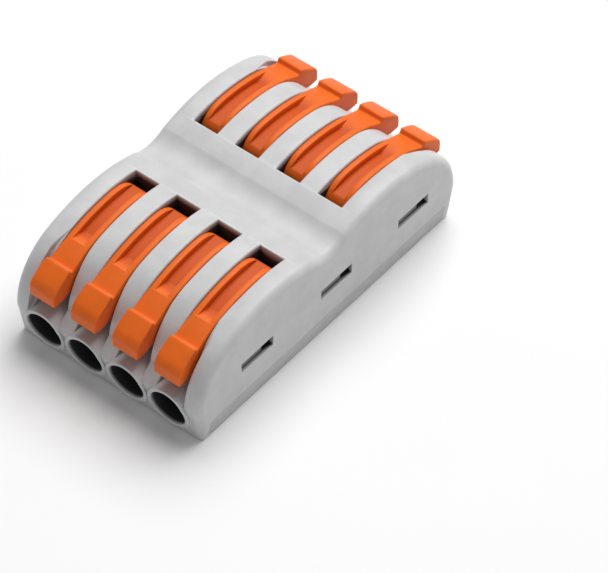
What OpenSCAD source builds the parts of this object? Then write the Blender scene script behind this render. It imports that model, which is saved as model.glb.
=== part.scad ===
// Lever wire connector. Each pole joins one wire at the front end to one wire at the rear end,
// and each of its two clamps is worked by its own lever.
// X runs across the poles, Y along the wires and Z up. The front end is at -Y.
// The origin is at the middle of the underside. Millimetres.

/* [Poles] */
// Number of poles side by side
poles = 4; // [2:1:6]
// Distance between neighbouring poles
pitch = 5.7; // [5.5:0.1:6.5]
// Wall outside the outermost lever slots
outer_wall = 2.65; // [2.4:0.05:3.5]

/* [Housing] */
// Half of the body's length, from the middle to an end face
half_length = 22; // [21.8:0.1:22.4]
// Height of the two crowns
crown_z = 13.5; // [13.5:0.1:14]
// Height of the dip across the middle
valley_z = 11.7; // [11:0.1:11.7]
// Height of the base plate's edge along the sides
band_z = 2.4; // [2:0.1:2.8]
// How far the sides lean in below the band line
band_taper = 0.35; // [0.1:0.05:0.6]
// Radius of the upright corners
corner_r = 1; // [0.6:0.1:1.6]

/* [Wire entries] */
// Diameter of the straight part of each wire entry
bore_d = 4.1; // [3.6:0.1:4.2]
// Diameter of the funnel at its mouth
mouth_d = 4.8; // [4.4:0.1:5]
// Height of the wire entries' axes
bore_z = 3.2; // [3.1:0.1:3.4]
// Outer diameter of the collars round the mouths
collar_d = 5.6; // [5.4:0.1:5.7]
// How far the collars stand out of the end faces
collar_out = 0.3; // [0.2:0.1:0.5]

/* [Levers] */
// Width of a lever's arm
lever_w = 3.0; // [2.8:0.1:3.2]
// Width of a lever's thumb pad
pad_w = 3.5; // [3.4:0.1:3.7]
// Rise of the thumb pad above the arm
pad_rise = 0.7; // [0.4:0.1:0.9]
// Width of the channel along the top of the arm
channel_w = 1.6; // [1.2:0.1:1.8]
// Depth of that channel
channel_depth = 0.8; // [0.5:0.1:1]
// Diameter of the pivot pins
pin_d = 2.4; // [2:0.1:2.6]

/* [Clamps] */
// Thickness of the spring strip
strip_t = 0.4; // [0.3:0.05:0.4]
// Width of the spring strip
strip_w = 3.2; // [3:0.1:3.3]
// Thickness of the busbars
bar_t = 0.8; // [0.6:0.1:0.8]

/* [Hidden] */
$fn = 96;
rows = ["front", "rear"];

gap = 0.1;                                  // sliding gap beside a lever
fit = 0.05;                                 // gap between parts that rest on each other
over = 1;                                   // how far a cutting shape runs past a face
slot_w = lever_w + 2 * gap;
slot_mouth_w = pad_w + 0.3;
half_width = (poles - 1) / 2 * pitch + slot_w / 2 + outer_wall;

// The crown is a long arc. A smaller arc, tangent to it, turns down to the end face on the two
// outer walls, and sooner on the ribs between the levers.
crown_r = 21.1;
crown_c = [9.2, crown_z - crown_r];
shoulder_r = 8;
rib_front = 20.3;                           // where the ribs' arc stands upright
rib_foot = [[19.6, 6.9], [half_length, 4.9]]; // slope from the ribs' front to the end face
end_taper = 0.9;                            // how far the end faces lean in at the bottom
end_wide_z = 4.6;                           // height where the body is longest

// The dip is an arc, blended into each crown by a rounded edge.
valley_r = 4.5;
valley_c = [0, valley_z + valley_r];
brow_r = 2;
brow_c = meet(valley_c, valley_r + brow_r, crown_c, crown_r - brow_r);
brow_inner = valley_c + (brow_c - valley_c) * valley_r / (valley_r + brow_r);
brow_outer = crown_c + (brow_c - crown_c) * crown_r / (crown_r - brow_r);
brow_tip = 1.6 * meet(valley_c, valley_r, crown_c, crown_r) - 0.6 * brow_c;

floor_t = 0.6;                              // base plate's floor
plate_half_length = 19.9;
rim_x = half_width - 1.65;                  // inner face of the base plate's side rims
slot_end = 4.85;                            // inner end of the lever slots
flare_start = 16.6;                         // where the slots and levers start to widen
flare_end = 20.6;

chamber_w = 3.6;                            // space round a spring
chamber_start = 1.6;
chamber_end = 13.5;
chamber_top = 8.5;
stop_end = 8.4;                             // wire stop, below the busbar
bar_z = 4.6;                                // underside of the busbars
bar_w = 3.2;
tongue_w = 2.2;
tongue_start = 9.6;
bar_half_length = 13.1;

pivot = [8.6, 10];                          // lever pivot, distance from the middle and height
pin_reach = 0.65;                           // pivot pin's length beside the arm
cam_low_r = 1.7;                            // cam radius under the pivot, lever closed
cam_high_r = 3.3;                           // cam radius that bears on the spring, lever open
arm_t = 2.5;
arm_top_r = crown_r - 0.15;
channel_end = 15.2;
ramp_start = 19;
ramp_end = 20;
pad_end = 22.1;
pad_t = 2.2;
nose_z = [7.9, 9.5];                        // heights of the blunt nose

loop_c = [3.4, 6.8];                        // centre of the spring's loop
loop_r = 1.4;
spring_front = 12.5;                        // outer face of the spring's window leg
spring_low = 3.7;
bend_r = 0.8;
window_w = tongue_w + 0.2;

hook_pitch = 13.27;                         // latch hooks along each side
hook_start = -1.7;
hook_l = 3.8;
window_l = 5.2;
window_z = 5.7;
window_h = 1.4;
hook_t = 0.7;
side_wall = 1.25;
hook_x = half_width - side_wall - fit;      // outer face of a hook's stem

// The higher of the two points where two circles meet.
function meet(a, ra, b, rb) =
    let (d = norm(b - a), t = (ra * ra - rb * rb + d * d) / (2 * d), h = sqrt(ra * ra - t * t),
         u = (b - a) / d, side = [-u.y, u.x])
    a + t * u + sign(side.y) * h * side;

// Height of an arc about the crown's centre, at a distance from the middle.
function arc_height(s, r) = crown_c.y + sqrt(r * r - (s - crown_c.x) * (s - crown_c.x));

function pole_x(i) = (i - (poles + 1) / 2) * pitch;

// A side view, drawn as distance from the middle and height, made solid across X.
module across(w) rotate([90, 0, 90]) linear_extrude(w, center = true) children();

module disc(c, r) translate(c) circle(r);

module both_rows() {
    children();
    mirror([0, 1, 0]) children();
}

module both_sides() {
    children();
    mirror([1, 0, 0]) children();
}

module each_pole() for (i = [1:poles]) translate([pole_x(i), 0, 0]) children();

// Put a part at its pole. It is drawn for the rear row, and mirrored for the front one.
module at(row, i) translate([pole_x(i), 0, 0]) mirror([0, row == "front" ? 1 : 0, 0]) children();

module bar_box(x, y, z) translate([x[0], y[0], z[0]]) cube([x[1] - x[0], y[1] - y[0], z[1] - z[0]]);

// Side view of the crown, turned down by a shoulder that stands upright at the given distance.
module crown_side(front) {
    angle = asin((front - shoulder_r - crown_c.x) / (crown_r - shoulder_r));
    centre = crown_c + (crown_r - shoulder_r) * [sin(angle), cos(angle)];
    intersection() {
        disc(crown_c, crown_r);
        union() {
            square([crown_c.x + crown_r * sin(angle), crown_z]);
            square([front, centre.y]);
            disc(centre, shoulder_r);
        }
    }
}

// Side view of half of an outer wall, with the dip at the middle and the lean of the end face.
module half_side() {
    difference() {
        intersection() {
            crown_side(half_length);
            polygon([[0, 0], [half_length - end_taper, 0], [half_length, end_wide_z],
                     [half_length, crown_z], [0, crown_z]]);
        }
        disc(valley_c, valley_r);
        difference() {
            polygon([brow_inner, brow_tip, brow_outer, brow_c]);
            disc(brow_c, brow_r);
        }
    }
}

module plan_outline() {
    square([2 * half_width, 2 * (half_length - corner_r)], center = true);
    square([2 * (half_width - corner_r), 2 * half_length], center = true);
    for (x = [-1, 1], y = [-1, 1])
        disc([x * (half_width - corner_r), y * (half_length - corner_r)], corner_r);
}

// End view: the sides stand straight above the band line and lean in below it.
module end_outline() {
    foot = half_width - band_taper;
    polygon([[-foot, 0], [foot, 0], [half_width, band_z], [half_width, crown_z + over],
             [-half_width, crown_z + over], [-half_width, band_z]]);
}

module body_block() {
    intersection() {
        across(2 * half_width) union() {
            half_side();
            mirror([1, 0]) half_side();
        }
        linear_extrude(crown_z + over) plan_outline();
        rotate([90, 0, 0]) linear_extrude(3 * half_length, center = true) end_outline();
    }
}

// Plan of a lever slot, open at the end face.
module slot_plan() {
    polygon([[-slot_w / 2, slot_end], [slot_w / 2, slot_end], [slot_w / 2, flare_start],
             [slot_mouth_w / 2, flare_end], [slot_mouth_w / 2, half_length + over],
             [-slot_mouth_w / 2, half_length + over], [-slot_mouth_w / 2, flare_end],
             [-slot_w / 2, flare_start]]);
}

// What the ribs and slots lack, compared with the outer walls. The walls' inner faces flare out
// along it.
module rib_drop() {
    ledge = 0.3;
    start = 14;
    full = 18;
    end = half_length + over;
    inner = (poles - 1) / 2 * pitch + slot_w / 2;
    outer = (poles - 1) / 2 * pitch + slot_mouth_w / 2 + ledge;
    intersection() {
        linear_extrude(crown_z + over)
            polygon([[-inner, 0], [inner, 0], [inner, start], [outer, full], [outer, end],
                     [-outer, end], [-outer, full], [-inner, start]]);
        across(2 * outer) difference() {
            translate([crown_c.x, rib_foot[1].y - over]) square([half_length, crown_z]);
            crown_side(rib_front);
            polygon([[crown_c.x, 0], [crown_c.x, rib_foot[0].y], rib_foot[0], rib_foot[1],
                     [2 * half_length, rib_foot[1].y], [2 * half_length, 0]]);
        }
    }
}

module lever_slot() {
    intersection() {
        linear_extrude(crown_z + over) slot_plan();
        across(slot_mouth_w) polygon([
            [slot_end, chamber_top - over], [chamber_end, chamber_top - over],
            [chamber_end, bore_z], [half_length + over, bore_z],
            [half_length + over, crown_z + over], [slot_end, crown_z + over]]);
    }
}

// Space for the spring, the busbar's end and the wire, and the grooves that seat the pivot pins.
module clamp_chamber() {
    seat_w = slot_w + 2 * (pin_reach + fit);
    seat_r = pin_d / 2 + fit;
    bar_box([-chamber_w / 2, chamber_w / 2], [chamber_start, chamber_end], [bar_z, chamber_top]);
    bar_box([-chamber_w / 2, chamber_w / 2], [stop_end, chamber_end], [0, bar_z + fit]);
    bar_box([-bar_w / 2 - fit, bar_w / 2 + fit], [-over, chamber_start + over],
            [bar_z, bar_z + bar_t + fit]);
    across(seat_w) disc(pivot, seat_r);
    bar_box([-seat_w / 2, seat_w / 2], [pivot.x - seat_r, pivot.x + seat_r], [0, pivot.y]);
}

// The tube round a wire entry. Its collar stands out of the leaning end face all the way round.
module entry_tube() {
    front = half_length + collar_out;
    intersection() {
        translate([0, chamber_end, bore_z]) rotate([-90, 0, 0])
            cylinder(d = collar_d, h = front - chamber_end);
        across(collar_d) polygon([[0, 0], [front - end_taper, 0], [front, end_wide_z],
                                  [front, crown_z], [0, crown_z]]);
    }
}

module entry_bore() {
    funnel_l = 1.8;
    funnel_start = half_length + collar_out - funnel_l;
    translate([0, chamber_end - fit, bore_z]) rotate([-90, 0, 0])
        cylinder(d = bore_d, h = funnel_start - chamber_end + fit);
    translate([0, funnel_start, bore_z]) rotate([-90, 0, 0])
        cylinder(d1 = bore_d, d2 = mouth_d, h = funnel_l);
    translate([0, half_length + collar_out, bore_z]) rotate([-90, 0, 0])
        cylinder(d = mouth_d, h = over);
}

// The room that the base plate takes: its floor, its side rims and the pockets for its hooks.
module base_room() {
    y = plate_half_length + fit;
    bar_box([-half_width - over, half_width + over], [-y, y], [-over, floor_t + fit / 2]);
    both_sides() {
        bar_box([rim_x - fit, half_width + over], [-y, y], [-over, band_z + fit / 2]);
        for (k = [-1:1]) translate([0, k * hook_pitch + hook_start, 0]) {
            bar_box([hook_x - hook_t - fit, hook_x + fit], [-fit, window_l], [0, window_z + window_h]);
            bar_box([hook_x, half_width + over], [0, window_l], [window_z, window_z + window_h]);
        }
    }
}

module housing() {
    color("gainsboro") difference() {
        union() {
            difference() {
                body_block();
                both_rows() rib_drop();
                both_rows() each_pole() lever_slot();
            }
            both_rows() each_pole() entry_tube();
        }
        both_rows() each_pole() {
            clamp_chamber();
            entry_bore();
        }
        base_room();
    }
}

module hook() {
    barb_x = half_width - 0.45;
    barb_drop = 0.15;
    bar_box([hook_x - hook_t, hook_x], [0, hook_l], [band_z - over, window_z + window_h - 0.2]);
    bar_box([hook_x - over / 2, barb_x], [fit, hook_l],
            [window_z + fit, window_z + window_h - barb_drop]);
}

module base_plate() {
    mark_r = 0.9;
    mark_depth = 0.15;
    color("silver") difference() {
        union() {
            intersection() {
                union() {
                    bar_box([-half_width, half_width], [-plate_half_length, plate_half_length],
                            [0, floor_t]);
                    both_sides() bar_box([rim_x, half_width],
                                         [-plate_half_length, plate_half_length], [0, band_z]);
                }
                rotate([90, 0, 0]) linear_extrude(3 * half_length, center = true) end_outline();
            }
            both_sides() for (k = [-1:1])
                translate([0, k * hook_pitch + hook_start, 0]) hook();
        }
        for (x = [-1, 1], y = [-1:1])
            translate([x * pitch, y * hook_pitch, -over]) cylinder(r = mark_r, h = over + mark_depth);
    }
}

// One bar runs through both clamps of a pole, with a narrow tongue at each end.
module busbar(i) {
    color("tan") translate([pole_x(i), 0, bar_z]) {
        bar_box([-bar_w / 2, bar_w / 2], [-tongue_start, tongue_start], [0, bar_t]);
        bar_box([-tongue_w / 2, tongue_w / 2], [-bar_half_length, bar_half_length], [0, bar_t]);
    }
}

// Side view of the bent strip: base leg, loop, upper leg and the leg with the window.
module spring_side() {
    base_end = 9.4;
    bend_c = [spring_front - bend_r, loop_c.y + loop_r - bend_r];
    translate([loop_c.x, loop_c.y - loop_r]) square([base_end - loop_c.x, strip_t]);
    translate([loop_c.x, loop_c.y + loop_r - strip_t]) square([bend_c.x - loop_c.x, strip_t]);
    translate([spring_front - strip_t, spring_low]) square([strip_t, bend_c.y - spring_low]);
    difference() {
        disc(loop_c, loop_r);
        disc(loop_c, loop_r - strip_t);
        translate([loop_c.x, 0]) square(2 * crown_z);
    }
    intersection() {
        difference() {
            disc(bend_c, bend_r);
            disc(bend_c, bend_r - strip_t);
        }
        translate(bend_c) square(bend_r);
    }
}

module clamp_spring(row, i) {
    window_start = 10.4;
    lower_bar = 0.8;
    lift = 0.02;
    color("lightsteelblue") at(row, i) translate([0, 0, lift]) difference() {
        across(strip_w) spring_side();
        bar_box([-window_w / 2, window_w / 2], [window_start, spring_front + over],
                [spring_low + lower_bar, crown_z]);
    }
}

// Side view of a closed lever: cam, arm under the crown, and raised thumb pad. The high cam is the
// upper part of a disc, and the web joins the low cam to the arm.
module lever_side() {
    cam_side = 2 * cam_high_r;
    cam_cut = 0.5;
    web = [[0, -cam_low_r], [1, -1.4], [4.2, 0.6], [4.2, 2], [0, 0]];
    intersection() {
        disc(crown_c, arm_top_r);
        union() {
            difference() {
                translate([pivot.x, 0]) square([ramp_start + over / 2 - pivot.x, crown_z]);
                disc(crown_c, arm_top_r - arm_t);
            }
            difference() {
                disc(pivot, cam_high_r);
                translate(pivot - [cam_side, cam_side]) square([2 * cam_side, cam_side - cam_cut]);
            }
            disc(pivot, cam_low_r);
            translate(pivot) polygon(web);
        }
    }
    pad_side();
}

// The pad rises from the arm by a ramp, follows the crown and ends in a blunt nose.
module pad_side() {
    top_r = arm_top_r + pad_rise;
    nose_bevel = [0.5, 0.6];
    ramp_foot = [ramp_start, arc_height(ramp_start, arm_top_r)];
    intersection() {
        difference() {
            disc(crown_c, top_r);
            disc(crown_c, arm_top_r - pad_t);
        }
        polygon([[ramp_start, nose_z[0]], [pad_end, nose_z[0]], [pad_end, nose_z[1]],
                 [pad_end - nose_bevel.x, nose_z[1] + nose_bevel.y], [ramp_end, crown_z],
                 ramp_foot]);
    }
}

module lever_plan() {
    chamfer = 0.4;
    polygon([[-lever_w / 2, 0], [lever_w / 2, 0], [lever_w / 2, flare_start],
             [pad_w / 2, flare_end], [pad_w / 2, pad_end - chamfer],
             [pad_w / 2 - chamfer, pad_end], [chamfer - pad_w / 2, pad_end],
             [-pad_w / 2, pad_end - chamfer], [-pad_w / 2, flare_end], [-lever_w / 2, flare_start]]);
}

module lever(row, i) {
    color("darkorange") at(row, i) {
        difference() {
            intersection() {
                across(pad_w) lever_side();
                linear_extrude(crown_z + over) lever_plan();
            }
            across(channel_w) difference() {
                square([channel_end, crown_z + over]);
                disc(crown_c, arm_top_r - channel_depth);
            }
        }
        across(lever_w + 2 * pin_reach) disc(pivot, pin_d / 2);
    }
}

housing();
base_plate();
for (i = [1:poles])
    busbar(i);
for (row = rows, i = [1:poles])
    clamp_spring(row, i);
for (row = rows, i = [1:poles])
    lever(row, i);
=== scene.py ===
"""Lever wire connector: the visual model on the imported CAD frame.

Shapes are drawn in millimetres in the row frame (X across the poles, Y along the wires, Z up), then
scaled to metres. The rear row lies at +Y and the front row is its mirror image.
"""
import math

import bmesh
import bpy
from mathutils import Matrix, Vector
from mathutils.bvhtree import BVHTree


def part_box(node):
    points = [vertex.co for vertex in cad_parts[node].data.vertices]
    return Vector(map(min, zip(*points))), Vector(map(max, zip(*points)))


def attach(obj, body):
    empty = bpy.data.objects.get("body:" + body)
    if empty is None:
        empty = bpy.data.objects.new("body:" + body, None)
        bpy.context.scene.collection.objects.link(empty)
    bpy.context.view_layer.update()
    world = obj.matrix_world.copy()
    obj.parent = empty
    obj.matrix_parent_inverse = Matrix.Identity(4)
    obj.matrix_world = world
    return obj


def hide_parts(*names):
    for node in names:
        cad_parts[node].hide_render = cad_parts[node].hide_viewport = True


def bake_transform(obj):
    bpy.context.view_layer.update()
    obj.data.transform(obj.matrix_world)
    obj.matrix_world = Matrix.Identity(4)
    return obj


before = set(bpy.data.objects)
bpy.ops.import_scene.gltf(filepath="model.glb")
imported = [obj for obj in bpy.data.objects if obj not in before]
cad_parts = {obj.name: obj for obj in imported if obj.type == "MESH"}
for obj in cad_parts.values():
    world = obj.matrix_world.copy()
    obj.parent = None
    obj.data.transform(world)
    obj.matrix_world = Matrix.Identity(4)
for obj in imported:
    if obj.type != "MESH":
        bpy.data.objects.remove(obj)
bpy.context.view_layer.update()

MM = 0.001
ROWS = {"front": -1, "rear": 1}
POLES = [1, 2, 3, 4]


# ---------------------------------------------------------------- places read from the CAD frame

def node_box(name):
    """Lowest and highest corner of a CAD node, in millimetres."""
    low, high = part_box(name)
    return low / MM, high / MM


def middle_x(node):
    low, high = node_box(node)
    return (low.x + high.x) / 2


HOUSING_HIGH = node_box("housing")[1]
HALF_WIDTH = HOUSING_HIGH.x
CROWN_Z = HOUSING_HIGH.z
POLE_X = {pole: middle_x(f"busbar_{pole}") for pole in POLES}
PITCH = POLE_X[2] - POLE_X[1]

# ------------------------------------------- values that follow the CAD, unless noted, in mm

END_S = 22.0                     # distance of an end face from the middle
END_LEAN = 0.9                   # how far the end face leans in at the bottom
COLLAR_OUT = HOUSING_HIGH.y - END_S - 0.005     # rounding moves the rim out by 0.003
CROWN_R, CROWN_S = 21.1, 9.2
SHOULDER_R = 8.0
RIB_FRONT = 20.3
RIB_FOOT = [(19.6, 6.9), (22.0, 4.9)]
VALLEY_Z, VALLEY_R, BROW_R = 11.7, 4.5, 2.0
BAND_Z, BAND_LEAN = 2.4, 0.35
FLOOR_T = 0.6
PLATE_END = node_box("base_plate")[1].y
SLOT_W, SLOT_MOUTH_W, SLOT_END = 3.2, 3.8, 4.85
FLARE = (16.6, 20.6)
LAST_POLE_X = 1.5 * PITCH
LEDGE, LEDGE_S = 0.3, (15.4, 18.0)   # flat beside the last slots. It widens from 14 in the CAD
BORE_Z, BORE_R, MOUTH_R, COLLAR_R = 3.2, 2.05, 2.4, 2.8
FUNNEL_L = 1.8
CHAMBER = dict(half_w=1.8, start=1.6, end=13.5, low=4.6, top=8.5, stop=8.4)
PIVOT = (8.6, 10.0)
PIN_R, PIN_X, SEAT_GAP = 1.2, 2.15, 0.05
CAM_HIGH_R, CAM_LOW_R, CAM_CUT = 3.3, 1.7, 0.5
WEB = [(9.6, 8.6), (11.04, 9.5), (11.86, 9.5), (11.9, 10.04)]
ARM_TOP_R, ARM_T, CHANNEL_R = 20.95, 2.5, 20.15
ARM_W, PAD_W, CHANNEL_W, CHANNEL_END = 3.0, 3.5, 1.6, 15.2
CHANNEL_RISE = 1.6               # slope at the channel's outer end, an upright wall in the CAD
PAD_TOP_R, PAD_FOOT, PAD_TOP = 21.65, 19.0, (19.25, 21.57)
NOSE_S, NOSE_Z = 22.1, (7.9, 9.5)
NOSE_FOOT, ARM_UNDER = 20.6, (12.7, 17.8)    # thinner than the CAD between 17.8 and 20.6
BAR_Z, BAR_T, BAR_W, TONGUE_W, TONGUE_START, BAR_END = 4.6, 0.8, 3.2, 2.2, 9.6, 13.1
STRIP_T, STRIP_W, SPRING_LIFT = 0.4, 3.2, 0.02
LOOP, LOOP_R, LEG_END, BEND, BEND_R = (3.4, 6.8), 1.2, 9.4, (11.7, 7.4), 0.6
SPRING_LOW, SPRING_WINDOW, WINDOW_BAR = 3.7, (2.4, 10.4), 0.8
HOOK_L, BARB_X, BARB_ROOT = 3.8, HALF_WIDTH - 0.45, 0.5
STEM_GAP, BARB_GAP = 0.2, 0.15   # from a window's top down to the hook's stem and its barb
MARK_R, MARK_DEPTH = 0.9, 0.15
HOOK_PITCH, HOOK_START = 13.27, -1.7
HOOK_STARTS = [k * HOOK_PITCH + HOOK_START for k in (-1, 0, 1)]
WINDOW_L, WINDOW_Z, WINDOW_TOP = 5.2, 5.7, 7.1
HOOK_X, HOOK_T, RIM_X = HALF_WIDTH - 1.3, 0.7, HALF_WIDTH - 1.65

CROWN_C = Vector((CROWN_S, CROWN_Z - CROWN_R))
VALLEY_C = Vector((0, VALLEY_Z + VALLEY_R))
BORE_SIDES, SEAT_SIDES, PIN_SIDES, EDGE_STEPS = 64, 48, 40, 8

# ---------------------------------------------------------------- rounding of edges, in mm

EDGE_R = 1.0                     # the outer walls' top edges and upright corners
RIM_ROUND, RIM_END_ROUND, RIM_FADE = 0.26, 0.1, (17, 20)     # slot rims, sharper by the ends
LEDGE_ROUND, LEDGE_FADE = (0.04, 0.14), 3.4  # beside the last slots, and how early they sharpen
STEP_SHARE, LEDGE_SHARE = 0.4, 0.35          # the most of a step or a ledge that rounding takes
LEDGE_Z = 5.0                    # edges beside the last slots count as the ledge's above this
COLLAR_ROUND, WINDOW_ROUND, SIDE_ROUND, FOOT_ROUND = 0.11, 0.09, 0.07, 0.08
COVER_ROUND, BAR_ROUND, STRIP_ROUND = 0.1, 0.1, 0.06
LEVER_ROUND, PIN_ROUND, CHANNEL_ROUND = 0.22, 0.1, 0.14
CHANNEL_FADE = ((6.6, 8), (14, 15.4))        # where the channel's rounding grows and ends
FLARE_RIM = 0.3                  # the outer part of a lever's sides, moved by the whole flare
NEAR, MARGIN = 0.02, 0.1         # slack for being on a face, and for being in a region

# ---------------------------------------------------------------- shade per millimetre of depth

BORE_SHADE, WINDOW_SHADE, GAP_SHADE = 2, 1.3, 2      # GAP_SHADE adds to WINDOW_SHADE past a hook
HOOK_SHADE, CHANNEL_SHADE, LEVER_SHADE = 1.25, 1.3, 0.35
SHADE_LOSS, SHADE_LOSS_L = 0.9, 3    # the share of the slots' shade lost over 3 mm past the pivot
CHANNEL_SHADE_L = 0.6                # how far the channel's shade goes on past its end


# ---------------------------------------------------------------- side-view curves

def arc(centre, radius, start, end, count):
    """Points on an arc, by angle in degrees from the outward direction."""
    angles = [math.radians(start + (end - start) * k / count) for k in range(count + 1)]
    return [Vector((centre[0] + radius * math.cos(a), centre[1] + radius * math.sin(a)))
            for a in angles]


def heading(v):
    return math.degrees(math.atan2(v[1], v[0]))


def upper_meeting(a, radius_a, b, radius_b):
    """The higher of the two points where two circles meet."""
    d = (b - a).length
    t = (radius_a ** 2 - radius_b ** 2 + d * d) / (2 * d)
    h = math.sqrt(radius_a ** 2 - t * t)
    u = (b - a) / d
    side = Vector((-u.y, u.x))
    return a + t * u + math.copysign(h, side.y) * side


def shoulder(front):
    """Centre of the shoulder arc that stands upright at this distance, and its start angle."""
    lean = math.asin((front - SHOULDER_R - CROWN_S) / (CROWN_R - SHOULDER_R))
    reach = CROWN_R - SHOULDER_R
    return CROWN_C + reach * Vector((math.sin(lean), math.cos(lean))), 90 - math.degrees(lean)


def side_curves():
    """Half of the side view, as (middle part, outer wall's end, ribs' end, foot).

    The middle part is shared. The two ends start where the ribs' shoulder leaves the crown.
    """
    brow = upper_meeting(VALLEY_C, VALLEY_R + BROW_R, CROWN_C, CROWN_R - BROW_R)
    rib_centre, rib_angle = shoulder(RIB_FRONT)
    wall_centre, wall_angle = shoulder(END_S)
    inner, outer = heading(VALLEY_C - brow), heading(brow - CROWN_C)
    middle = arc(VALLEY_C, VALLEY_R, -90, heading(brow - VALLEY_C), 10)
    middle += arc(brow, BROW_R, inner, outer, 6)[1:]
    middle += arc(CROWN_C, CROWN_R, outer, rib_angle, 44)[1:]
    foot_angle = math.degrees(math.asin((RIB_FOOT[1][1] - wall_centre.y) / SHOULDER_R))
    wall = arc(CROWN_C, CROWN_R, rib_angle, wall_angle, 6)[1:]
    wall += arc(wall_centre, SHOULDER_R, wall_angle, foot_angle, 26)[1:]
    top, slope = Vector(RIB_FOOT[0]), Vector(RIB_FOOT[1]) - Vector(RIB_FOOT[0])
    a, b = slope.length_squared, (top - rib_centre).dot(slope)
    c = (top - rib_centre).length_squared - SHOULDER_R ** 2
    landing = top + slope * (math.sqrt(b * b - a * c) - b) / a
    rib = arc(rib_centre, SHOULDER_R, rib_angle, heading(landing - rib_centre), 26)[1:]
    rib.append(wall[-1])
    foot = [Vector((END_S, wall_centre.y)), Vector((END_S - END_LEAN, 0))]
    return middle, wall, rib, foot


MIDDLE, WALL, RIB, FOOT = side_curves()


def height_at(curve, s):
    """Height of a curve at a distance from the middle."""
    for a, b in zip(curve, curve[1:]):
        if a.x <= s <= b.x:
            return a.y + (b.y - a.y) * (s - a.x) / (b.x - a.x)
    return curve[-1].y


def inset(points, depth, sharpest=0.5):
    """An open curve moved inwards. Its first point moves down and its last one moves level.

    sharpest keeps the shift at a sharp corner below depth / sharpest.
    """
    moved = []
    for k, p in enumerate(points):
        if k == 0:
            moved.append(p - Vector((0, depth)))
        elif k == len(points) - 1:
            moved.append(p - Vector((depth, 0)))
        else:
            before, after = (p - points[k - 1]).normalized(), (points[k + 1] - p).normalized()
            along = (before + after).normalized()
            sideways = Vector((-along.y, along.x))
            moved.append(p + sideways * -depth / max(along.dot(before), sharpest))
    return moved


# ---------------------------------------------------------------- meshes in millimetres

def mesh_object(name, verts, faces):
    mesh = bpy.data.meshes.new(name)
    bm = bmesh.new()
    made = [bm.verts.new(v) for v in verts]
    for face in faces:
        bm.faces.new([made[k] for k in face])
    bmesh.ops.recalc_face_normals(bm, faces=bm.faces)
    bm.to_mesh(mesh)
    bm.free()
    obj = bpy.data.objects.new(name, mesh)
    bpy.context.scene.collection.objects.link(obj)
    return obj


def prism(polygon, low, high, place):
    """A polygon made solid between two levels. place(u, v, level) gives each point."""
    n = len(polygon)
    verts = [place(u, v, w) for w in (low, high) for u, v in polygon]
    sides = [[k, (k + 1) % n, n + (k + 1) % n, n + k] for k in range(n)]
    return verts, [list(range(n)), list(range(n, 2 * n))] + sides


def across_x(polygon, low, high):
    return prism(polygon, low, high, lambda s, z, x: (x, s, z))


def up_z(polygon, low, high):
    return prism(polygon, low, high, lambda x, s, z: (x, s, z))


def box(x, s, z):
    return up_z([(x[0], s[0]), (x[1], s[0]), (x[1], s[1]), (x[0], s[1])], z[0], z[1])


def turned(profile, place, count):
    """A solid of revolution from (radius, length) pairs. place(across, up, along) gives points."""
    rings = [[place(r * math.cos(2 * math.pi * k / count), r * math.sin(2 * math.pi * k / count), t)
              for k in range(count)] for r, t in profile]
    verts = [p for ring in rings for p in ring]
    faces = [list(range(count)), list(range(len(verts) - count, len(verts)))]
    for j in range(len(rings) - 1):
        for k in range(count):
            a, b = j * count + k, j * count + (k + 1) % count
            faces.append([a, b, b + count, a + count])
    return verts, faces


def several(name, shapes, copies):
    """One object with each shape at each copy, a function from point to point."""
    verts, faces = [], []
    for copy in copies:
        for shape_verts, shape_faces in shapes:
            start = len(verts)
            verts += [copy(Vector(v)) for v in shape_verts]
            faces += [[start + k for k in face] for face in shape_faces]
    return mesh_object(name, verts, faces)


def at_clamp(side, x):
    return lambda p: Vector((p.x + x, side * p.y, p.z))


ALL_CLAMPS = [at_clamp(side, POLE_X[pole]) for side in ROWS.values() for pole in POLES]
BOTH_ROWS = [at_clamp(side, 0) for side in ROWS.values()]
ONCE = [lambda p: p]
BOTH_SIDES = ONCE + [lambda p: Vector((-p.x, p.y, p.z))]


def applied(obj):
    """obj with its modifiers turned into its mesh."""
    graph = bpy.context.evaluated_depsgraph_get()
    mesh = bpy.data.meshes.new_from_object(obj.evaluated_get(graph))
    obj.modifiers.clear()
    obj.data = mesh
    return obj


def combine(base, tool, operation):
    modifier = base.modifiers.new("combine", "BOOLEAN")
    modifier.operation = operation
    modifier.solver = "EXACT"
    modifier.object = tool
    applied(base)
    bpy.data.objects.remove(tool)
    return base


def cut(base, shapes, copies):
    return combine(base, several("cutter", shapes, copies), "DIFFERENCE")


def tidied(obj, distance=0.004, flat=0.2):
    """obj with points nearer than distance merged, and faces that meet at under flat degrees."""
    bm = bmesh.new()
    bm.from_mesh(obj.data)
    bmesh.ops.remove_doubles(bm, verts=bm.verts, dist=distance)
    bmesh.ops.dissolve_degenerate(bm, dist=distance, edges=bm.edges)
    bmesh.ops.dissolve_limit(bm, angle_limit=math.radians(flat), verts=bm.verts, edges=bm.edges,
                             delimit={"NORMAL"})
    bm.to_mesh(obj.data)
    bm.free()
    return obj


def surface(obj):
    return BVHTree.FromPolygons([v.co for v in obj.data.vertices],
                                [p.vertices for p in obj.data.polygons])


def on_surface(tree, point, distance=0.03):
    return tree.find_nearest(point, distance)[0] is not None


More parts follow.
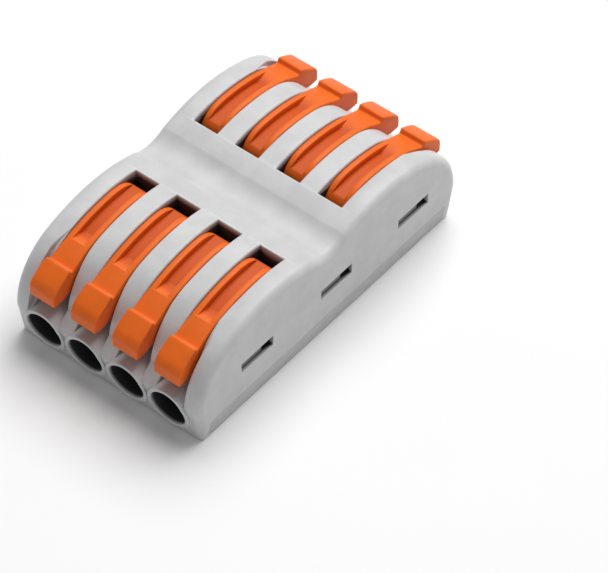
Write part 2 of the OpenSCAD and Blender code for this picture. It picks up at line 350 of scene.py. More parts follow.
def round_edges(obj, width_of, widest, segments=3, sharp=24):
    """Rounds each sharp outer edge by width_of(the middle of the edge), up to widest."""
    bm = bmesh.new()
    bm.from_mesh(obj.data)
    weight = bm.edges.layers.float.get("bevel_weight_edge")
    weight = weight or bm.edges.layers.float.new("bevel_weight_edge")
    for edge in bm.edges:
        if edge.is_manifold and edge.calc_face_angle_signed(0) > math.radians(sharp):
            edge[weight] = width_of((edge.verts[0].co + edge.verts[1].co) / 2) / widest
    bm.to_mesh(obj.data)
    bm.free()
    bevel = obj.modifiers.new("round", "BEVEL")
    bevel.limit_method = "WEIGHT"
    bevel.width = widest
    bevel.segments = segments
    bevel.use_clamp_overlap = False
    bevel.miter_outer = "MITER_ARC"
    return applied(obj)


def split_shading(obj, angle=50):
    """Stops smooth shading at edges that turn by more than this, and deletes loose edges."""
    bm = bmesh.new()
    bm.from_mesh(obj.data)
    loose = [edge for edge in bm.edges if not edge.link_faces]
    bmesh.ops.delete(bm, geom=loose, context="EDGES")
    for edge in bm.edges:
        edge.smooth = edge.is_manifold and edge.calc_face_angle() < math.radians(angle)
    bm.to_mesh(obj.data)
    bm.free()


def finished(obj, replaced, body, material):
    """Scales a piece to metres, shades it smooth, hides the CAD nodes it stands for, and ties it to
    its body, if any.
    """
    edge_marked(obj)
    obj.data.transform(Matrix.Scale(MM, 4))
    obj.data.materials.clear()
    obj.data.materials.append(material)
    for polygon in obj.data.polygons:
        polygon.use_smooth = True
        polygon.material_index = 0
    split_shading(obj)
    normals = obj.modifiers.new("flat_faces", "WEIGHTED_NORMAL")
    normals.weight = 80
    normals.keep_sharp = True
    if replaced:
        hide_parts(*replaced)
    if body:
        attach(obj, body)
    return obj


# ---------------------------------------------------------------- the housing

def housing_block():
    """The outer shape: a side view swept across X, with rounded outer edges."""
    curve = MIDDLE + WALL + FOOT
    turn = [math.radians(90 * k / EDGE_STEPS) for k in range(EDGE_STEPS + 1)]
    edge = [(HALF_WIDTH - EDGE_R * (1 - math.cos(a)), EDGE_R * (1 - math.sin(a))) for a in turn]
    verts, faces = [], []
    for x, depth in [(-x, d) for x, d in edge] + edge[::-1]:
        points = inset(curve, depth)
        verts += [(x, -p.x, p.y) for p in reversed(points)] + [(x, p.x, p.y) for p in points[1:]]
    n = 2 * len(curve) - 1
    for start in range(0, len(verts) - n, n):
        for k in range(n):
            a, b = start + k, start + (k + 1) % n
            faces.append([a, b, b + n, a + n])
    faces += [list(range(n)), list(range(len(verts) - n, len(verts)))]
    return mesh_object("housing_shell", verts, faces)


def share(value, low, high):
    """How far a value lies from low to high, from 0 to 1."""
    return min(max((value - low) / (high - low), 0), 1)


def wall_x(s):
    """The outer walls' inner face, where they stand above the ribs."""
    near, far = LAST_POLE_X + SLOT_W / 2, LAST_POLE_X + SLOT_MOUTH_W / 2 + LEDGE
    return near + (far - near) * share(s, *LEDGE_S)


def slot_x(s):
    """The outer face of the outermost slots."""
    return LAST_POLE_X + (SLOT_W + (SLOT_MOUTH_W - SLOT_W) * share(s, *FLARE)) / 2


def rib_drop():
    """What the ribs lack, compared with the outer walls."""
    start, end, top = MIDDLE[-1], END_S + 1, CROWN_Z + 1
    side = [tuple(p) for p in [start] + RIB[:-1]]
    side += [RIB_FOOT[1], (end, RIB_FOOT[1][1]), (end, top), (start.x, top)]
    right = [(wall_x(s), s) for s in (start.x, *LEDGE_S, end)]
    plan = right + [(-x, s) for x, s in reversed(right)]
    drop = several("drop", [across_x(side, -HALF_WIDTH, HALF_WIDTH)], BOTH_ROWS)
    return combine(drop, several("plan", [up_z(plan, 0, top + 1)], BOTH_ROWS), "INTERSECT")


def slot_shapes():
    """Groups of cutters for one slot: its whole length, and the deeper part past the chamber."""
    half, mouth, end = SLOT_W / 2, SLOT_MOUTH_W / 2, END_S + 1
    start = min((p.x for p in RIB), key=lambda s: abs(s - FLARE[0]))
    wide = FLARE[1]
    top = CROWN_Z + 1
    plan = [(-half, SLOT_END), (half, SLOT_END), (half, start), (mouth, wide), (mouth, end),
            (-mouth, end), (-mouth, wide), (-half, start)]
    deep = [(x, max(s, CHAMBER["end"])) for x, s in plan]
    return [up_z(plan, CHAMBER["top"] - 1, top)], [up_z(deep, BORE_Z, top)]


def entry_tubes():
    """The tubes round the wire entries. Their ends lean in at the bottom, as the end faces do."""
    front = END_S + COLLAR_OUT
    tube = turned([(COLLAR_R, CHAMBER["end"]), (COLLAR_R, front)],
                  lambda across, up, along: (across, along, BORE_Z + up), BORE_SIDES)
    tubes = several("tubes", [tube], ALL_CLAMPS)
    wide_z = shoulder(END_S)[0].y
    lean = [(-front + END_LEAN, -1), (front - END_LEAN, -1), (front - END_LEAN, 0),
            (front, wide_z), (front, CROWN_Z), (-front, CROWN_Z), (-front, wide_z),
            (-front + END_LEAN, 0)]
    ends = several("ends", [across_x(lean, -HALF_WIDTH, HALF_WIDTH)], ONCE)
    return combine(tubes, ends, "INTERSECT")


def clamp_spaces():
    """Groups of cutters for one clamp: the chamber, the wire's room, the bar's groove, the seats."""
    c = CHAMBER
    half, seat_r, seat_x = c["half_w"], PIN_R + SEAT_GAP, PIN_X + SEAT_GAP
    chamber = box((-half, half), (c["start"], c["end"]), (c["low"], c["top"]))
    wire = box((-half, half), (c["stop"], c["end"]), (-1, c["low"] + SEAT_GAP))
    seat = turned([(seat_r, -seat_x), (seat_r, seat_x)],
                  lambda across, up, along: (along, PIVOT[0] + across, PIVOT[1] + up),
                  SEAT_SIDES)
    groove = box((-seat_x, seat_x), (PIVOT[0] - seat_r, PIVOT[0] + seat_r), (-1, PIVOT[1]))
    funnel = END_S + COLLAR_OUT - FUNNEL_L
    bore = turned([(BORE_R, c["end"] - SEAT_GAP), (BORE_R, funnel),
                   (MOUTH_R, END_S + COLLAR_OUT), (MOUTH_R, END_S + 2)],
                  lambda across, up, along: (across, along, BORE_Z + up), BORE_SIDES)
    return [[chamber], [wire], [seat], [groove], [bore]]


def bar_groove():
    """The groove across the middle that holds a busbar."""
    half, reach, low = BAR_W / 2 + SEAT_GAP, CHAMBER["start"] + 1, CHAMBER["low"]
    return box((-half, half), (-reach, reach), (low, low + BAR_T + SEAT_GAP))


def base_spaces():
    """Groups of cutters for the base plate: its floor, side rims, hook pockets and windows."""
    y = PLATE_END + SEAT_GAP
    out = HALF_WIDTH + 1
    floor = box((-out, out), (-y, y), (-1, FLOOR_T + SEAT_GAP / 2))
    rim = box((RIM_X - SEAT_GAP, out), (-y, y), (-1, BAND_Z + SEAT_GAP / 2))
    pockets, windows = [], []
    for start in HOOK_STARTS:
        pockets.append(box((HOOK_X - HOOK_T - SEAT_GAP, HOOK_X + SEAT_GAP),
                           (start - SEAT_GAP, start + WINDOW_L), (0, WINDOW_TOP)))
        windows.append(box((HOOK_X, out), (start, start + WINDOW_L), (WINDOW_Z, WINDOW_TOP)))
    return [([floor], ONCE), ([rim], BOTH_SIDES), (pockets, BOTH_SIDES),
            (windows, BOTH_SIDES)]


def lean_wedge():
    """What one side of the housing loses by leaning in below the band line."""
    foot = HALF_WIDTH - BAND_LEAN
    slope = BAND_LEAN / BAND_Z
    wedge = [(foot - slope, -1), (foot + 2 * BAND_LEAN, 2 * BAND_Z), (HALF_WIDTH + 2, 2 * BAND_Z),
             (HALF_WIDTH + 2, -1)]
    return prism(wedge, -END_S - 2, END_S + 2, lambda x, z, y: (x, y, z))


def housing_shell():
    """The housing: the block less ribs' drop, slots, chambers and the base plate's room."""
    shell = housing_block()
    skin = surface(shell)
    shell = cut(shell, [lean_wedge()], BOTH_SIDES)
    shell = combine(shell, rib_drop(), "DIFFERENCE")
    ribs = surface(shell)
    for shapes in slot_shapes():
        shell = cut(shell, shapes, ALL_CLAMPS)
    tubes = entry_tubes()
    collar = surface(tubes)
    shell = combine(shell, tubes, "UNION")
    for shapes in clamp_spaces():
        shell = cut(shell, shapes, ALL_CLAMPS)
    shell = cut(shell, [bar_groove()], ALL_CLAMPS[:len(POLES)])
    for shapes, copies in base_spaces():
        shell = cut(shell, shapes, copies)
    tidied(shell)
    side = HALF_WIDTH - BAND_LEAN

    def step_height(s):
        """How far the outer wall stands above the ribs."""
        return height_at(MIDDLE + WALL, s) - height_at(MIDDLE + RIB[:-1], s)

    def ledge_width(x, s):
        """Rounding beside the outermost slots, where the outer wall rises from the ribs."""
        if s < LEDGE_S[0]:
            fade = share(s, LEDGE_S[0] - LEDGE_FADE, LEDGE_S[0])
            return RIM_ROUND + (LEDGE_ROUND[0] - RIM_ROUND) * fade
        if x > wall_x(s) - NEAR:
            step = step_height(min(s, RIB_FRONT - MARGIN))
            return max(LEDGE_ROUND[0], min(LEDGE_ROUND[1], STEP_SHARE * step))
        return min(RIM_END_ROUND, LEDGE_SHARE * (wall_x(s) - slot_x(s)))

    def width_of(p):
        s = abs(p.y)
        if abs(p.x) > side:
            by_window = WINDOW_Z - MARGIN < p.z < WINDOW_TOP + MARGIN
            return WINDOW_ROUND if by_window else SIDE_ROUND
        if p.z < NEAR:
            return FOOT_ROUND
        if on_surface(collar, p, NEAR) and s > END_S - 1:
            return COLLAR_ROUND
        if on_surface(skin, p) or on_surface(ribs, p):
            beside = abs(p.x) > slot_x(s) - NEAR and p.z > LEDGE_Z
            if beside and s > LEDGE_S[0] - LEDGE_FADE:
                return ledge_width(abs(p.x), s)
            return RIM_ROUND + (RIM_END_ROUND - RIM_ROUND) * share(s, *RIM_FADE)
        return 0

    # the insides are given painted shade, darker with depth
    return painted_shade_marked(round_edges(shell, width_of, RIM_ROUND), painted_shade_in_housing(ribs))


# ---------------------------------------------------------------- the base plate

def base_plate():
    """The bottom cover: a tray with side rims, six latch hooks and six ejector marks."""
    foot, above = HALF_WIDTH - BAND_LEAN, CROWN_Z
    band = [(-foot, 0), (foot, 0), (HALF_WIDTH, BAND_Z), (HALF_WIDTH, above),
            (-HALF_WIDTH, above), (-HALF_WIDTH, BAND_Z)]
    tray = several("base_cover", [box((-HALF_WIDTH, HALF_WIDTH), (-PLATE_END, PLATE_END),
                                      (0, BAND_Z))], ONCE)
    tray = cut(tray, [box((-RIM_X, RIM_X), (-END_S, END_S), (FLOOR_T, above))], ONCE)
    leaning = prism(band, -END_S, END_S, lambda x, z, y: (x, y, z))
    tray = combine(tray, several("lean", [leaning], ONCE), "INTERSECT")
    stems, barbs = [], []
    for start in HOOK_STARTS:
        stems.append(box((HOOK_X - HOOK_T, HOOK_X), (start, start + HOOK_L),
                         (BAND_Z - 1, WINDOW_TOP - STEM_GAP)))
        barbs.append(box((HOOK_X - BARB_ROOT, BARB_X), (start + SEAT_GAP, start + HOOK_L),
                         (WINDOW_Z + SEAT_GAP, WINDOW_TOP - BARB_GAP)))
    for shapes in (stems, barbs):
        tray = combine(tray, several("hooks", shapes, BOTH_SIDES), "UNION")
    dot = turned([(MARK_R, -1), (MARK_R, MARK_DEPTH)], lambda a, b, t: (a, b, t), PIN_SIDES)
    marks = [lambda p, x=x, y=y: Vector((p.x + x * PITCH, p.y + y * HOOK_PITCH, p.z))
             for x in (-1, 1) for y in (-1, 0, 1)]
    tray = tidied(cut(tray, [dot], marks))

    # painted shade on the hooks: darker the further in from the side they stand
    def painted_shade_of(p):
        return HOOK_SHADE * (HALF_WIDTH - abs(p.x)) if p.z > BAND_Z + MARGIN else 0

    return painted_shade_marked(round_edges(tray, lambda p: COVER_ROUND, COVER_ROUND), painted_shade_of)


# ---------------------------------------------------------------- bars, springs and levers

def busbar():
    wide, slim = BAR_W / 2, TONGUE_W / 2
    plan = [(-slim, -BAR_END), (slim, -BAR_END), (slim, -TONGUE_START), (wide, -TONGUE_START),
            (wide, TONGUE_START), (slim, TONGUE_START), (slim, BAR_END), (-slim, BAR_END),
            (-slim, TONGUE_START), (-wide, TONGUE_START), (-wide, -TONGUE_START),
            (-slim, -TONGUE_START)]
    bar = several("bar", [up_z(plan, BAR_Z, BAR_Z + BAR_T)], ONCE)
    return round_edges(bar, lambda p: BAR_ROUND, BAR_ROUND, segments=2)


def strip(name, path):
    """A bent strip that follows a path of (distance, height) points along its middle."""
    half, sides = STRIP_T / 2, ([], [])
    for k, p in enumerate(path):
        along = (path[min(k + 1, len(path) - 1)] - path[max(k - 1, 0)]).normalized()
        across = Vector((-along.y, along.x)) * half
        for side, shift in zip(sides, (across, -across)):
            side.append(tuple(p + shift))
    polygon = sides[0] + sides[1][::-1]
    return several(name, [across_x(polygon, -STRIP_W / 2, STRIP_W / 2)], ONCE)


def spring_parts():
    """The spring's fixed base leg with its loop, and the upper leg with the window leg."""
    lifted = Vector((0, SPRING_LIFT))
    low_z, high_z = LOOP[1] - LOOP_R, LOOP[1] + LOOP_R
    leg = [Vector((LEG_END - (LEG_END - LOOP[0]) * k / 6, low_z)) for k in range(6)]
    base = leg + arc(LOOP, LOOP_R, -90, -270, 24)
    bend = arc(BEND, BEND_R, 90, 0, 8)
    upper = [Vector((LOOP[0] + (BEND[0] - LOOP[0]) * k / 8, high_z)) for k in range(8)] + bend
    upper += [Vector((bend[-1].x, BEND[1] + (SPRING_LOW - BEND[1]) * k / 6)) for k in range(1, 7)]
    parts = [strip("spring_base", [p + lifted for p in base]),
             strip("spring_leg", [p + lifted for p in upper])]
    width, start = SPRING_WINDOW
    opening = box((-width / 2, width / 2), (start, END_S),
                  (SPRING_LOW + WINDOW_BAR + SPRING_LIFT, CROWN_Z))
    parts[1] = cut(parts[1], [opening], ONCE)
    return [round_edges(part, lambda p: STRIP_ROUND, STRIP_ROUND, segments=2, sharp=50)
            for part in parts]


def crown_arc(radius, start, end, count=44):
    """Points on an arc about the crown's centre, between two distances from the middle."""
    angles = [math.degrees(math.acos((s - CROWN_S) / radius)) for s in (start, end)]
    return arc(CROWN_C, radius, *angles, count)


def lever_outline():
    """Side view of a closed lever of the rear row, anticlockwise from under the nose."""
    high_angle = math.degrees(math.asin(CAM_CUT / CAM_HIGH_R))
    low_angle = math.degrees(math.asin(CAM_CUT / CAM_LOW_R))
    points = [(NOSE_FOOT, NOSE_Z[0]), (NOSE_S, NOSE_Z[0]), (NOSE_S, NOSE_Z[1])]
    points += crown_arc(PAD_TOP_R, PAD_TOP[1], PAD_TOP[0], 12)
    points += crown_arc(ARM_TOP_R, PAD_FOOT, PIVOT[0])
    points += arc(PIVOT, CAM_HIGH_R, 90, 180 + high_angle, 30)
    points += arc(PIVOT, CAM_LOW_R, 180 + low_angle, 270, 12)
    points += WEB
    points += crown_arc(ARM_TOP_R - ARM_T, *ARM_UNDER, 30)
    return [Vector(p) for p in points]


def softened(polygon, step=0.12, passes=6):
    """A closed outline in equal steps, with its corners averaged into small curves."""
    lengths = [(b - a).length for a, b in zip(polygon, polygon[1:] + polygon[:1])]
    count = round(sum(lengths) / step)
    points, k, walked = [], 0, 0.0
    for n in range(count):
        target = sum(lengths) * n / count
        while walked + lengths[k] < target:
            walked += lengths[k]
            k += 1
        points.append(polygon[k].lerp(polygon[(k + 1) % len(polygon)],
                                      (target - walked) / lengths[k]))
    for _ in range(passes):
        points = [(points[k - 1] + 2 * points[k] + points[(k + 1) % count]) / 4
                  for k in range(count)]
    return points


def flared(obj):
    """Widens a lever from the arm's width to the pad's."""
    for vertex in obj.data.vertices:
        reach = share(abs(vertex.co.x), CHANNEL_W / 2, ARM_W / 2 - FLARE_RIM)
        extra = (PAD_W - ARM_W) / 2 * share(vertex.co.y, *FLARE)
        vertex.co.x += math.copysign(extra * reach, vertex.co.x)
    return obj


def channel_side():
    """Side view of what the channel takes away. Its outer end slopes up to the arm's top."""
    slope = CHANNEL_END + CHANNEL_RISE / 2
    above, before_cam = ARM_TOP_R + 1, 5
    floor = crown_arc(CHANNEL_R, before_cam, slope - CHANNEL_RISE)
    rise = (above - CHANNEL_R) / (ARM_TOP_R - CHANNEL_R) * CHANNEL_RISE
    return floor + crown_arc(above, slope - CHANNEL_RISE + rise, before_cam)


def lever_shape():
    """A closed lever of the rear row: cams, arm, raised pad, channel and pivot pins."""
    outline = [tuple(p) for p in softened(lever_outline())]
    lever = several("lever", [across_x(outline, -ARM_W / 2, ARM_W / 2)], ONCE)
    channel = [tuple(p) for p in channel_side()]
    lever = cut(lever, [across_x(channel, -CHANNEL_W / 2, CHANNEL_W / 2)], ONCE)
    pin = turned([(PIN_R, -PIN_X), (PIN_R, PIN_X)],
                 lambda a, b, t: (t, PIVOT[0] + a, PIVOT[1] + b), PIN_SIDES)
    lever = tidied(combine(lever, several("pin", [pin], ONCE), "UNION"))

    def width_of(p):
        across_the_lever = abs(p.x) < MARGIN
        if across_the_lever:
            return 0
        if abs(p.x) > PIN_X - MARGIN and p.y < FLARE[0]:
            return PIN_ROUND
        if abs(p.x) < CHANNEL_W / 2 + MARGIN / 2:
            grows, ends = CHANNEL_FADE
            return CHANNEL_ROUND * share(p.y, *grows) * (1 - share(p.y, *ends))
        return LEVER_ROUND

    # painted shade: darker below the arm's top, much more so in the channel
    def painted_shade_of(p):
        below = ARM_TOP_R - (Vector((p.y, p.z)) - CROWN_C).length
        in_channel = (abs(p.x) < CHANNEL_W / 2 + NEAR
                      and below < ARM_TOP_R - CHANNEL_R + MARGIN
                      and p.y < CHANNEL_END + CHANNEL_SHADE_L)
        return max(below, 0) * (CHANNEL_SHADE if in_channel else LEVER_SHADE)

    return painted_shade_marked(flared(round_edges(lever, width_of, LEVER_ROUND)), painted_shade_of)


def placed(shape, name, side, x):
    """A copy of a rear-row shape at its pole, mirrored for the front row."""
    copy = bpy.data.objects.new(name, shape.data.copy())
    copy.data.transform(Matrix.Translation((x, 0, 0)) @ Matrix.Diagonal((1, side, 1, 1)))
    if side < 0:
        copy.data.flip_normals()
    bpy.context.scene.collection.objects.link(copy)
    return copy


# ---------------------------------------------------------------- marks for the materials: painted shade by depth, and edges

def painted_shade_marked(obj, painted_shade_of):
    """Stores each point's painted shade, which darkens it by its depth below the outside, as
    "depth".
    """
    marks = obj.data.attributes.new("depth", "FLOAT", "POINT")
    for vertex, mark in zip(obj.data.vertices, marks.data):
        mark.value = painted_shade_of(vertex.co)
    return obj


def painted_shade_in_housing(block):
    """Gives points of the housing their painted shade, darker the deeper inside they lie. block is
    its outer surface, before the slots.
    """
    def painted_shade_of(p):
        s = abs(p.y)
        off_axis = min(Vector((p.x - POLE_X[pole], p.z - BORE_Z)).length for pole in POLES)
        if s > CHAMBER["end"] - MARGIN and off_axis < MOUTH_R + NEAR:
            lean = END_LEAN * max(1 - p.z / shoulder(END_S)[0].y, 0)
            return BORE_SHADE * max(END_S + COLLAR_OUT - lean - s, 0)
        if abs(p.x) > RIM_X - MARGIN and p.z < WINDOW_TOP + NEAR and s < LEDGE_S[1]:
            past_hook_start = (p.y - HOOK_START + 1) % HOOK_PITCH - 1
            shade = WINDOW_SHADE + GAP_SHADE * share(past_hook_start, HOOK_L / 2, HOOK_L)
            return shade * (HALF_WIDTH - abs(p.x))
        lost = SHADE_LOSS * share(s, PIVOT[0], PIVOT[0] + SHADE_LOSS_L)
        return block.find_nearest(p)[3] * (1 - lost)
    return painted_shade_of


def edge_marked(obj, turn=22):
    """Stores 1 where an outer edge turns by more than this many degrees, else 0, as "edge"."""
    bm = bmesh.new()
    bm.from_mesh(obj.data)
    layer = bm.verts.layers.float.new("edge")
    for vertex in bm.verts:
        turns = [e.calc_face_angle_signed(0) for e in vertex.link_edges if e.is_manifold]
        vertex[layer] = 1.0 if turns and max(turns) > math.radians(turn) else 0.0
    bm.to_mesh(obj.data)
    bm.free()
    return obj


# ---------------------------------------------------------------- materials

class Nodes:
    """Builds one node material. Patterns use object coordinates, scaled to millimetres."""

    def __init__(self, name):
        self.material = bpy.data.materials.new(name)
        self.material.use_nodes = True
        self.tree = self.material.node_tree
        self.shader = self.tree.nodes["Principled BSDF"]
        coordinates = self.add("ShaderNodeTexCoord")
        self.place = self.add("ShaderNodeMapping")
        self.place.inputs["Scale"].default_value = (1 / MM, 1 / MM, 1 / MM)
        self.link(coordinates.outputs["Object"], self.place.inputs["Vector"])

    def add(self, kind, **values):
        node = self.tree.nodes.new(kind)
        for key, value in values.items():
            setattr(node, key, value)
        return node

    def link(self, source, target):
        self.tree.links.new(source, target)

    def feed(self, socket, value):
        if isinstance(value, bpy.types.NodeSocket):
            self.link(value, socket)
        else:
            socket.default_value = value

    def stretched(self, scale):
        """The coordinates in millimetres, scaled again along each axis."""
        node = self.add("ShaderNodeMapping")
        node.inputs["Scale"].default_value = scale
        self.link(self.place.outputs["Vector"], node.inputs["Vector"])
        return node.outputs["Vector"]

    def noise(self, scale, detail=2.0, roughness=0.5, vector=None):
        """Noise with features of about 1 / scale millimetres."""
        node = self.add("ShaderNodeTexNoise")
        node.inputs["Scale"].default_value = scale
        node.inputs["Detail"].default_value = detail
        node.inputs["Roughness"].default_value = roughness
        self.link(vector or self.place.outputs["Vector"], node.inputs["Vector"])
        return node.outputs["Fac"]

    def ramp(self, value, low=0.0, high=1.0, start=0.0, end=1.0):
        """Maps low..high to start..end, without going past either."""
        node = self.add("ShaderNodeMapRange", interpolation_type="SMOOTHSTEP")
        for socket, number in zip(("From Min", "From Max", "To Min", "To Max"),
                                  (low, high, start, end)):
            node.inputs[socket].default_value = number
        self.link(value, node.inputs["Value"])
        return node.outputs["Result"]

    def mix(self, factor, first, second):
        node = self.add("ShaderNodeMix", data_type="RGBA")
        self.feed(node.inputs[0], factor)
        self.feed(node.inputs[6], first)
        self.feed(node.inputs[7], second)
        return node.outputs[2]

    def times(self, first, second):
        node = self.add("ShaderNodeMath", operation="MULTIPLY")
        self.feed(node.inputs[0], first)
        self.feed(node.inputs[1], second)
        return node.outputs[0]

    def mark(self, name):
        return self.add("ShaderNodeAttribute", attribute_name=name).outputs["Fac"]

    def bump(self, height, distance, strength=1.0):
        """Raises the surface by up to distance millimetres."""
        node = self.add("ShaderNodeBump")
        node.inputs["Strength"].default_value = strength
        node.inputs["Distance"].default_value = distance * MM
        self.link(height, node.inputs["Height"])
        self.link(node.outputs["Normal"], self.shader.inputs["Normal"])


def tinted(colour, factor):
    return tuple(min(c * factor, 1) for c in colour[:3]) + (1,)


def plastic(name, colour, deep, gloss, worn, shine=0.4):
    """Moulded plastic: cloudy colour, fine grain, scuffed gloss, pale worn edges, painted shade
    inside.

    deep is the painted shade colour of surfaces that lie well inside the part.
    """
    n = Nodes(name)
    clouds = n.ramp(n.noise(0.35, detail=3, roughness=0.6), low=0.3, high=0.7)
    shade = n.mix(clouds, tinted(colour, 0.95), tinted(colour, 1.04))
    specks = n.ramp(n.noise(2.6, detail=2), low=0.68, high=0.8, end=0.25)
    shade = n.mix(specks, shade, tinted(colour, 0.86))
    streaks = n.noise(1.1, detail=4, roughness=0.65, vector=n.stretched((1, 0.25, 1)))
    scuffs = n.ramp(streaks, low=0.45, high=0.72)
    rubbed = n.ramp(n.noise(1.7, detail=3), low=0.4, high=0.62, start=0.1, end=worn)
    shade = n.mix(n.times(n.mark("edge"), rubbed), shade, tinted(colour, 1.35))
    # painted shade: the deeper a point lies, by its "depth" mark, the nearer its colour comes to
    # deep
    shade = n.mix(n.ramp(n.mark("depth"), low=0.1, high=0.95), shade, deep)
    n.link(shade, n.shader.inputs["Base Color"])
    n.link(n.ramp(scuffs, start=gloss, end=gloss + 0.09), n.shader.inputs["Roughness"])
    n.shader.inputs["IOR"].default_value = 1.46
    n.shader.inputs["Specular IOR Level"].default_value = shine
    n.bump(n.noise(9, detail=3, roughness=0.6), distance=0.006)
    return n.material


def rolled_metal(name, colour, dull, along, gloss):
    """Strip metal: fine lines along the rolling direction, dull patches and bright worn edges."""
    n = Nodes(name)
    lines = n.noise(3, detail=4, roughness=0.7, vector=n.stretched(along))
    patches = n.ramp(n.noise(0.8, detail=4, roughness=0.6), low=0.42, high=0.66)
    shade = n.mix(patches, colour, dull)
    shade = n.mix(n.times(n.mark("edge"), 0.6), shade, tinted(colour, 1.2))
    n.link(shade, n.shader.inputs["Base Color"])
    n.shader.inputs["Metallic"].default_value = 1
    n.link(n.ramp(lines, 0.3, 0.7, start=gloss, end=gloss + 0.2), n.shader.inputs["Roughness"])
    n.bump(lines, distance=0.004)
    return n.material


def floor_paper():
    """Matt white paper with faint clouds. Its pattern is in metres."""
    n = Nodes("floor_paper")
    n.place.inputs["Scale"].default_value = (1, 1, 1)
    tone = n.mix(n.ramp(n.noise(9, detail=3), low=0.3, high=0.7), PAPER_DARK, PAPER_PALE)
    n.link(tone, n.shader.inputs["Base Color"])
    n.shader.inputs["Roughness"].default_value = 0.9
    return n.material


HOUSING_GREY = (0.56, 0.56, 0.565, 1)
BASE_GREY = (0.49, 0.49, 0.49, 1)
# the second orange is painted shade, for the levers' channel and sides
ORANGE, PAINTED_SHADE_ORANGE = (0.80, 0.140, 0.012, 1), (0.58, 0.085, 0.006, 1)
# painted shade: the near-black that the insides of the housing and cover turn to
PAINTED_INSIDE_SHADE = (0.032, 0.032, 0.034, 1)
TIN, TIN_DULL = (0.74, 0.66, 0.56, 1), (0.52, 0.40, 0.30, 1)
STEEL, STEEL_DULL = (0.58, 0.58, 0.60, 1), (0.38, 0.39, 0.42, 1)
PAPER_DARK, PAPER_PALE = (0.87, 0.87, 0.87, 1), (0.90, 0.90, 0.90, 1)


# ---------------------------------------------------------------- the assembly

def assemble():
    """Makes every piece and ties it to its body."""
    housing = plastic("housing_grey", HOUSING_GREY, PAINTED_INSIDE_SHADE, gloss=0.36, worn=0.35)
    finished(housing_shell(), ["housing"], "body", housing)
    cover = plastic("base_grey", BASE_GREY, PAINTED_INSIDE_SHADE, gloss=0.45, worn=0.3)
    finished(base_plate(), ["base_plate"], "body", cover)

    tin = rolled_metal("tin", TIN, TIN_DULL, along=(6, 0.4, 6), gloss=0.26)
    bar = busbar()
    for pole in POLES:
        copy = placed(bar, f"bar_{pole}", 1, POLE_X[pole])
        finished(copy, [f"busbar_{pole}"], "body", tin)

    steel = rolled_metal("steel", STEEL, STEEL_DULL, along=(6, 0.4, 0.4), gloss=0.2)
    orange = plastic("lever_orange", ORANGE, PAINTED_SHADE_ORANGE, gloss=0.42, worn=0.3, shine=0.25)
    base, leg = spring_parts()
    lever = lever_shape()
    for row, side in ROWS.items():
        for pole in POLES:
            x = POLE_X[pole]
            body = f"clamp_{row}_{pole}"
            finished(placed(leg, f"spring_leg_{row}_{pole}", side, x),
                     [f"clamp_spring_{row}_{pole}"], body, steel)
            fixed = placed(base, f"spring_base_{row}_{pole}", side, x)
            finished(fixed, [], None, steel)
            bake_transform(fixed)
            name = f"lever_{row}_{pole}"
            finished(placed(lever, f"lever_arm_{row}_{pole}", side, x), [name], name, orange)
    for shape in (bar, base, leg, lever):
        bpy.data.objects.remove(shape)


assemble()


# ---------------------------------------------------------------- stage, light and camera

CAMERA_AZIMUTH, CAMERA_ELEVATION = 39.48, 47.1       # degrees
CAMERA_DISTANCE, CAMERA_CENTRE_Z = 0.4271, 0.0057    # metres
FOCAL, SENSOR_W = 6.5335526, 36      # focal length in widths of the picture, sensor width in mm
AIM_RIGHT, AIM_DOWN = 0.1079, 0.0846     # how far past the object it aims, in picture widths
FLOOR_HALF, FLOOR_DROP = 2, 0.02 * MM    # metres
WORLD_STRENGTH = 0.33


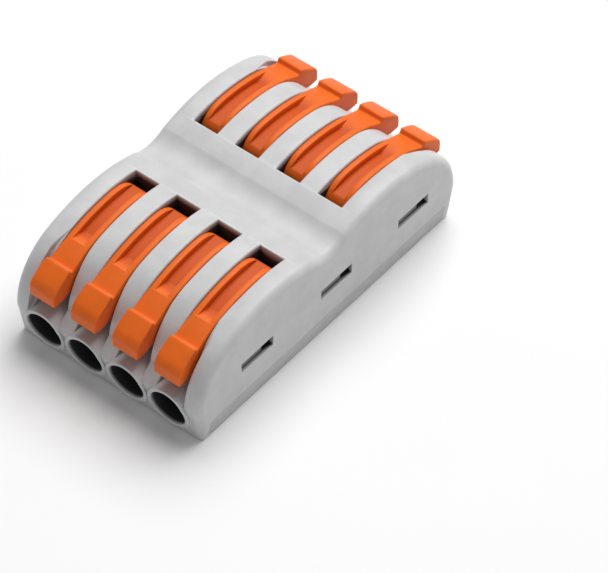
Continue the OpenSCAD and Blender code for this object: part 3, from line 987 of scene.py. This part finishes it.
def camera_from_photo():
    """A long lens at the photo's angle, aimed so that the object stands where the photo has it."""
    azimuth, elevation = math.radians(CAMERA_AZIMUTH), math.radians(CAMERA_ELEVATION)
    centre = Vector((0, 0, CAMERA_CENTRE_Z))
    back = Vector((math.sin(azimuth) * math.cos(elevation),
                   -math.cos(azimuth) * math.cos(elevation), math.sin(elevation)))
    right = Vector((math.cos(azimuth), math.sin(azimuth), 0))
    up = back.cross(right)
    aim = centre + CAMERA_DISTANCE / FOCAL * (AIM_RIGHT * right - AIM_DOWN * up)
    place = centre + back * CAMERA_DISTANCE
    forward = (aim - place).normalized()
    right = (right - right.dot(forward) * forward).normalized()
    up = right.cross(forward)
    data = bpy.data.cameras.new("camera")
    data.sensor_width = SENSOR_W
    data.lens = SENSOR_W * FOCAL
    data.clip_start, data.clip_end = 0.05, 5
    camera = bpy.data.objects.new("camera", data)
    camera.matrix_world = Matrix((
        (right.x, up.x, -forward.x, place.x),
        (right.y, up.y, -forward.y, place.y),
        (right.z, up.z, -forward.z, place.z),
        (0, 0, 0, 1)))
    bpy.context.scene.collection.objects.link(camera)
    bpy.context.scene.camera = camera


def area_light(name, azimuth, elevation, distance, size, power):
    """A square light that faces the origin. Its angles are in degrees, as the camera's are."""
    a, e = math.radians(azimuth), math.radians(elevation)
    data = bpy.data.lights.new(name, "AREA")
    data.size = size
    data.energy = power
    light = bpy.data.objects.new(name, data)
    back = Vector((math.sin(a) * math.cos(e), -math.cos(a) * math.cos(e), math.sin(e)))
    light.location = back * distance
    light.rotation_euler = back.to_track_quat("Z", "Y").to_euler()
    bpy.context.scene.collection.objects.link(light)


def studio():
    """A white floor, even white surroundings and one large light."""
    corners = [(x * FLOOR_HALF, y * FLOOR_HALF, 0) for x, y in ((-1, -1), (1, -1), (1, 1), (-1, 1))]
    floor = several("floor", [(corners, [[0, 1, 2, 3]])], ONCE)
    floor.location.z = -FLOOR_DROP
    floor.data.materials.append(floor_paper())
    world = bpy.data.worlds.new("studio")
    world.use_nodes = True
    background = world.node_tree.nodes["Background"]
    background.inputs["Color"].default_value = (1, 1, 1, 1)
    background.inputs["Strength"].default_value = WORLD_STRENGTH
    bpy.context.scene.world = world
    area_light("key", azimuth=185, elevation=62, distance=0.7, size=0.6, power=5.4)
    bpy.context.scene.view_settings.view_transform = "Standard"


studio()
camera_from_photo()
